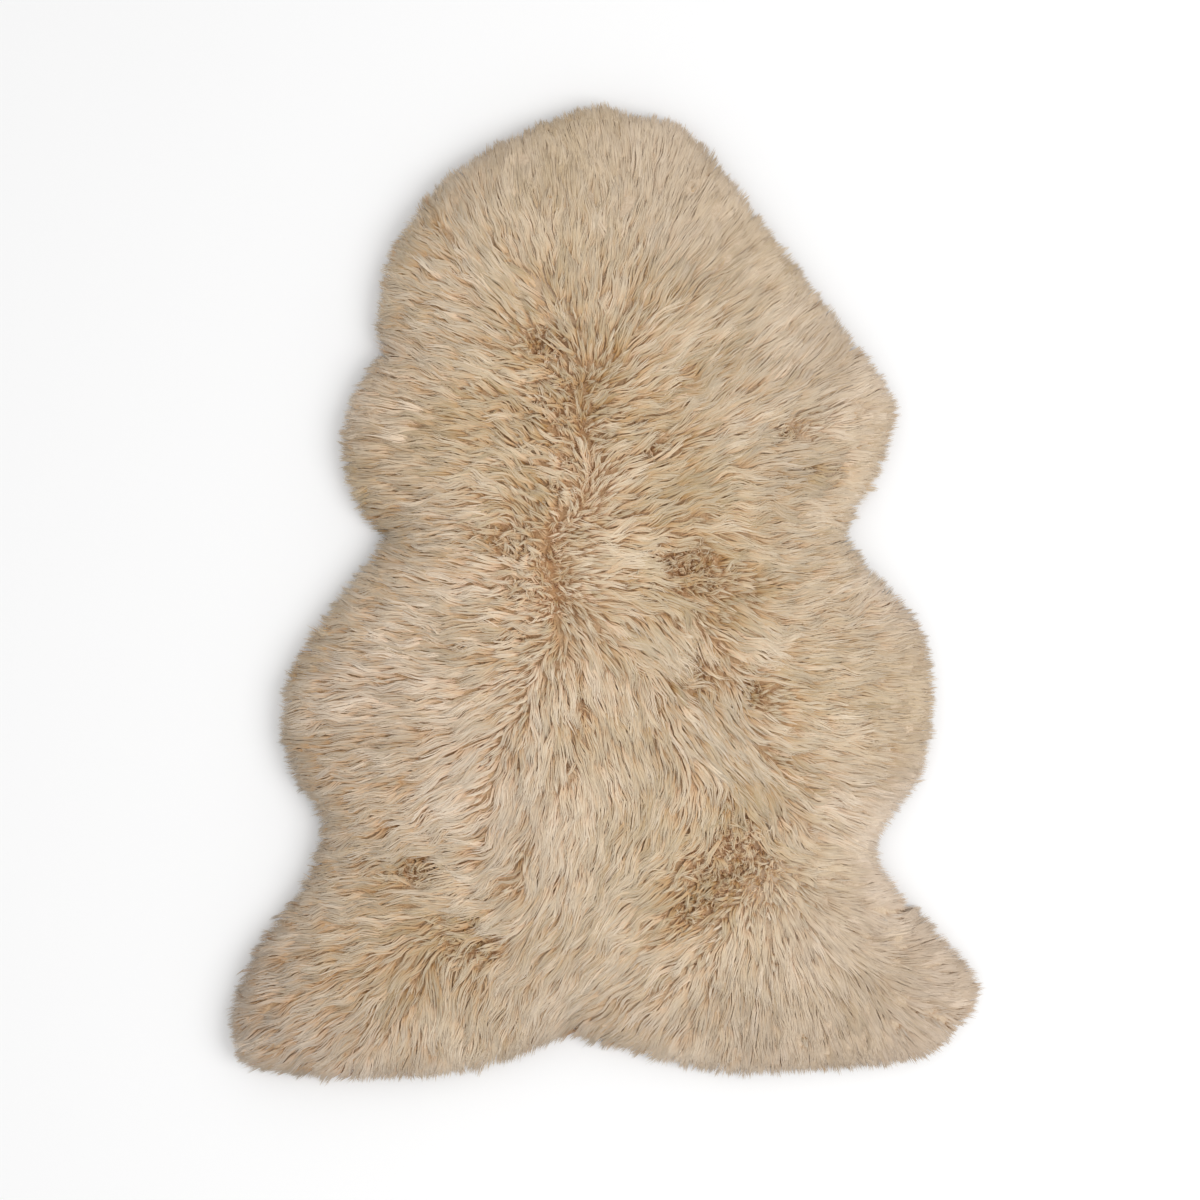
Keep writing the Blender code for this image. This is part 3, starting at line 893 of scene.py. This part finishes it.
def curly(roots):
    """Short crimped curls, every way round, in the middle of the open places."""
    n = len(roots)
    opened = grid.read(OPEN, roots)
    track, _ = follow(roots, DRAW.normal(0, 0.8, n))
    wisp = np.repeat(np.arange(n), CURL)
    count = len(wisp)
    t = np.linspace(CURLY_START, 1.0, CURLY_ROWS + 1)[None, :]
    reach = DRAW.uniform(0.006, 0.014, n)
    s = (reach[wisp] * (1 + 0.1 * DRAW.standard_normal(count)))[:, None] * t**1.2
    xy, ahead, normal = along_track(track, wisp, s)
    crimp = DRAW.uniform(0.0007, 0.0014, n)[wisp][:, None] * np.sqrt(t)
    start = (DRAW.uniform(0, TURN, n)[wisp] + DRAW.normal(0, 0.2, count))[:, None]
    phase = start + TURN * s / DRAW.uniform(0.0045, 0.0075, n)[wisp][:, None]
    side = DRAW.normal(0, 0.0013, count)[:, None] * (1 - 0.35 * t)
    along = DRAW.normal(0, 0.0010, count)[:, None] - 0.4 * reach[wisp][:, None]
    xy = xy + normal * (side + crimp * np.sin(phase))[:, :, None] + ahead * along[:, :, None]
    tall = (DRAW.uniform(0.85, 1.0, n) - 0.06 * opened * DRAW.random(n))[wisp][:, None]
    rise = 1 - (1 - np.clip(t / 0.85, 0, 1)) ** 2.4
    top = grid.read(TOP, xy)
    z = HIDE_THICK + (top - HIDE_THICK) * tall * rise + 0.8 * crimp * np.cos(phase + 0.6)
    roll, width = turned(wisp, t), uneven_width(CURLY_WIDTH, wisp)
    strip = wisp_strip(roots, wisp, 0.12, -0.05 * opened, 0.3)
    # browner towards the root, and darker and browner lower under the top of the wool: painted shade between
    # the curls
    shade = np.clip(1 - 0.5 * (1 - t) - 0.5 * np.clip((top - z) / 0.007, 0, 1), 0.05, 1)
    return ribbons(xy, z, normal, roll, tapered(width, t, 0.5, 0.8, 1.6), strip, shade)


# ---------------------------------------------------------------- wool
def span_areas(group):
    """The middle of each span of each strand, and the area that the span covers."""
    path, half = group.path, group.half
    middle = (path[:, 1:] + path[:, :-1]) / 2
    area = np.linalg.norm(path[:, 1:] - path[:, :-1], axis=2) * (half[:, 1:] + half[:, :-1])
    return middle.reshape(-1, 3), area


def coverage(group):
    """How many layers of strands lie over each point of the grid, near the top of the wool."""
    spot, area = span_areas(group)
    shown = spot[:, 2] > UNDERCOAT_SHARE * grid.read(TOP, spot[:, :2])
    cell = np.clip(np.round((spot[:, :2] - grid.low) / GRID_STEP).astype(int), 0, grid.size - 1)
    index = cell[:, 0] * grid.size[1] + cell[:, 1]
    total = np.bincount(index, area.ravel() * shown, grid.size[0] * grid.size[1]) / GRID_STEP**2
    return grid.blur(total, COVER_BLUR)


def seen(group):
    """True for each strand that has fewer than LEAST_SEEN layers of the others over it somewhere."""
    spot, area = span_areas(group)
    cell = np.clip(np.round((spot[:, :2] - grid.low) / SEEN_CELL).astype(int), 0, None)
    index = cell[:, 0] * (cell[:, 1].max() + 1) + cell[:, 1]
    order = np.lexsort((-spot[:, 2], index))
    layers = np.cumsum(area.ravel()[order]) / SEEN_CELL**2
    first = np.concatenate(([True], index[order][1:] != index[order][:-1]))
    base = np.maximum.accumulate(np.where(first, np.concatenate(([0.0], layers[:-1])), 0.0))
    above = np.empty(len(order))
    above[order] = layers - base
    return (above.reshape(area.shape) < LEAST_SEEN).any(axis=1)


def ribbon_mesh(name, group, chosen, material):
    """Flat strands as one mesh, a quad a span and a triangle at the tip."""
    path, strip = group.path[chosen], group.strip[chosen]
    offset = group.across[chosen] * group.half[chosen][:, :, None]
    count, rows = len(path), path.shape[1] - 1
    sides = np.stack((path - offset, path + offset), axis=2)[:, :rows].reshape(count, -1, 3)
    verts = np.concatenate((sides, path[:, rows:]), axis=1)
    per = verts.shape[1]
    quads = np.array([(2 * i, 2 * i + 1, 2 * i + 3, 2 * i + 2) for i in range(rows - 1)])
    pattern = np.concatenate((quads.ravel(), (2 * rows - 2, 2 * rows - 1, 2 * rows)))
    loops = (pattern[None, :] + per * np.arange(count)[:, None]).ravel()
    sizes = np.tile([4] * (rows - 1) + [3], count)
    starts = np.concatenate(([0], np.cumsum(sizes)[:-1]))
    mesh = bpy.data.meshes.new(name)
    mesh.vertices.add(count * per)
    mesh.vertices.foreach_set("co", verts.astype(np.float32).ravel())
    mesh.loops.add(len(loops))
    mesh.loops.foreach_set("vertex_index", loops.astype(np.int32))
    mesh.polygons.add(len(sizes))
    mesh.polygons.foreach_set("loop_start", starts.astype(np.int32))
    mesh.update(calc_edges=True)
    u = (strip[:, None] + np.array([0.12, 0.88] * rows + [0.5])) / (HUES * LIGHTS)
    shade = group.shade[chosen]
    v = np.concatenate((np.repeat(shade[:, :rows], 2, axis=1), shade[:, rows:]), axis=1)
    layer = mesh.uv_layers.new(name="OFBake")
    layer.uv.foreach_set("vector", np.stack((u, v), axis=2)[:, pattern].astype(np.float32).ravel())
    smooth(mesh)
    return add_object(name, mesh, material)


def wool_groups():
    """The strands of each kind: combed locks, then what fills the rim and the places they leave thin."""
    roots = root_grid(LOCK_STEP, LOCK_JITTER)
    roots = roots[DRAW.random(len(roots)) > np.clip(1.5 * grid.read(OPEN, roots), 0, 0.95)]
    flat = combed(roots)
    kept = seen(flat)
    flat = Ribbons(*(part[kept] for part in flat))
    full = FULL_COVER * (1 + 0.3 * calmness(grid.points))
    thin = np.clip(1.3 - 1.3 * coverage(flat) / full, 0, 1) * (DISTANCE > THIN_INSET)
    more = root_grid(UPRIGHT_STEP, JITTER)
    more = more[grid.read(thin, more) * (1 - 0.7 * grid.read(OPEN, more)) > DRAW.random(len(more))]
    curls = root_grid(CURLY_STEP, JITTER)
    curls = curls[grid.read(OPEN, curls) > DRAW.uniform(0.15, 0.65, len(curls))]
    low = root_grid(FRINGE_STEP, JITTER)
    low = low[grid.read(DISTANCE, low) < FRINGE_BAND]
    return {
        "wool_combed": flat,
        "wool_fringe": combed(low, low=True),
        "wool_upright": upright(more),
        "wool_curly": curly(curls),
    }


def build_wool(material):
    """Each kind of strand as one or more meshes, none above PIECE_TRIANGLES."""
    pieces = []
    for name, group in wool_groups().items():
        rows = group.path.shape[1] - 1
        parts = math.ceil(len(group.path) * (2 * rows - 1) / PIECE_TRIANGLES)
        order = np.argsort(group.path[:, 0, 1], kind="stable")
        for p, chosen in enumerate(np.array_split(order, parts)):
            pieces.append(ribbon_mesh(f"{name}_{p + 1}", group, chosen, material))
    return pieces


# ---------------------------------------------------------------- stage
def plain_floor():
    bpy.ops.mesh.primitive_plane_add(size=FLOOR_SIZE, location=(0, 0, 0))
    floor = bpy.context.object
    floor.name = "floor"
    material, nodes, _ = new_material("floor")
    nodes["Principled BSDF"].inputs["Base Color"].default_value = FLOOR_COLOUR
    nodes["Principled BSDF"].inputs["Roughness"].default_value = 0.9
    floor.data.materials.append(material)


def lights():
    """Even light from all round, and a weak key light from the right."""
    world = bpy.data.worlds.new("studio")
    bpy.context.scene.world = world
    world.use_nodes = True
    world.node_tree.nodes["Background"].inputs["Color"].default_value = (1, 1, 1, 1)
    world.node_tree.nodes["Background"].inputs["Strength"].default_value = SKY_STRENGTH
    data = bpy.data.lights.new("key", "AREA")
    data.shape = "DISK"
    data.size = KEY_SIZE
    data.energy = KEY_WATTS
    key = bpy.data.objects.new("key", data)
    key.location = KEY_PLACE
    key.rotation_euler = (-key.location).to_track_quat("-Z", "Y").to_euler()
    bpy.context.scene.collection.objects.link(key)


def camera():
    """Straight above the rug, which fills the frame as it does in the photograph."""
    data = bpy.data.cameras.new("camera")
    data.lens = LENS_MM
    data.sensor_width = SENSOR_MM
    cam = bpy.data.objects.new("camera", data)
    distance = VIEW_WIDTH / 2 / (SENSOR_MM / 2 / LENS_MM)
    cam.location = (*VIEW_CENTRE, distance + VIEW_HEIGHT)
    cam.rotation_euler = (0, 0, 0)
    scene = bpy.context.scene
    scene.collection.objects.link(cam)
    scene.camera = cam
    scene.view_settings.view_transform = "Standard"
    scene.view_settings.look = "None"
    scene.cycles.diffuse_bounces = 8


camera()
lights()
plain_floor()
wool = build_wool(wool_material())
undercoat = build_undercoat(undercoat_material())
hide, hide_ring = build_hide(hide_material())
for piece in wool + [undercoat, hide]:
    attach(piece, "root")
    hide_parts(RUG)
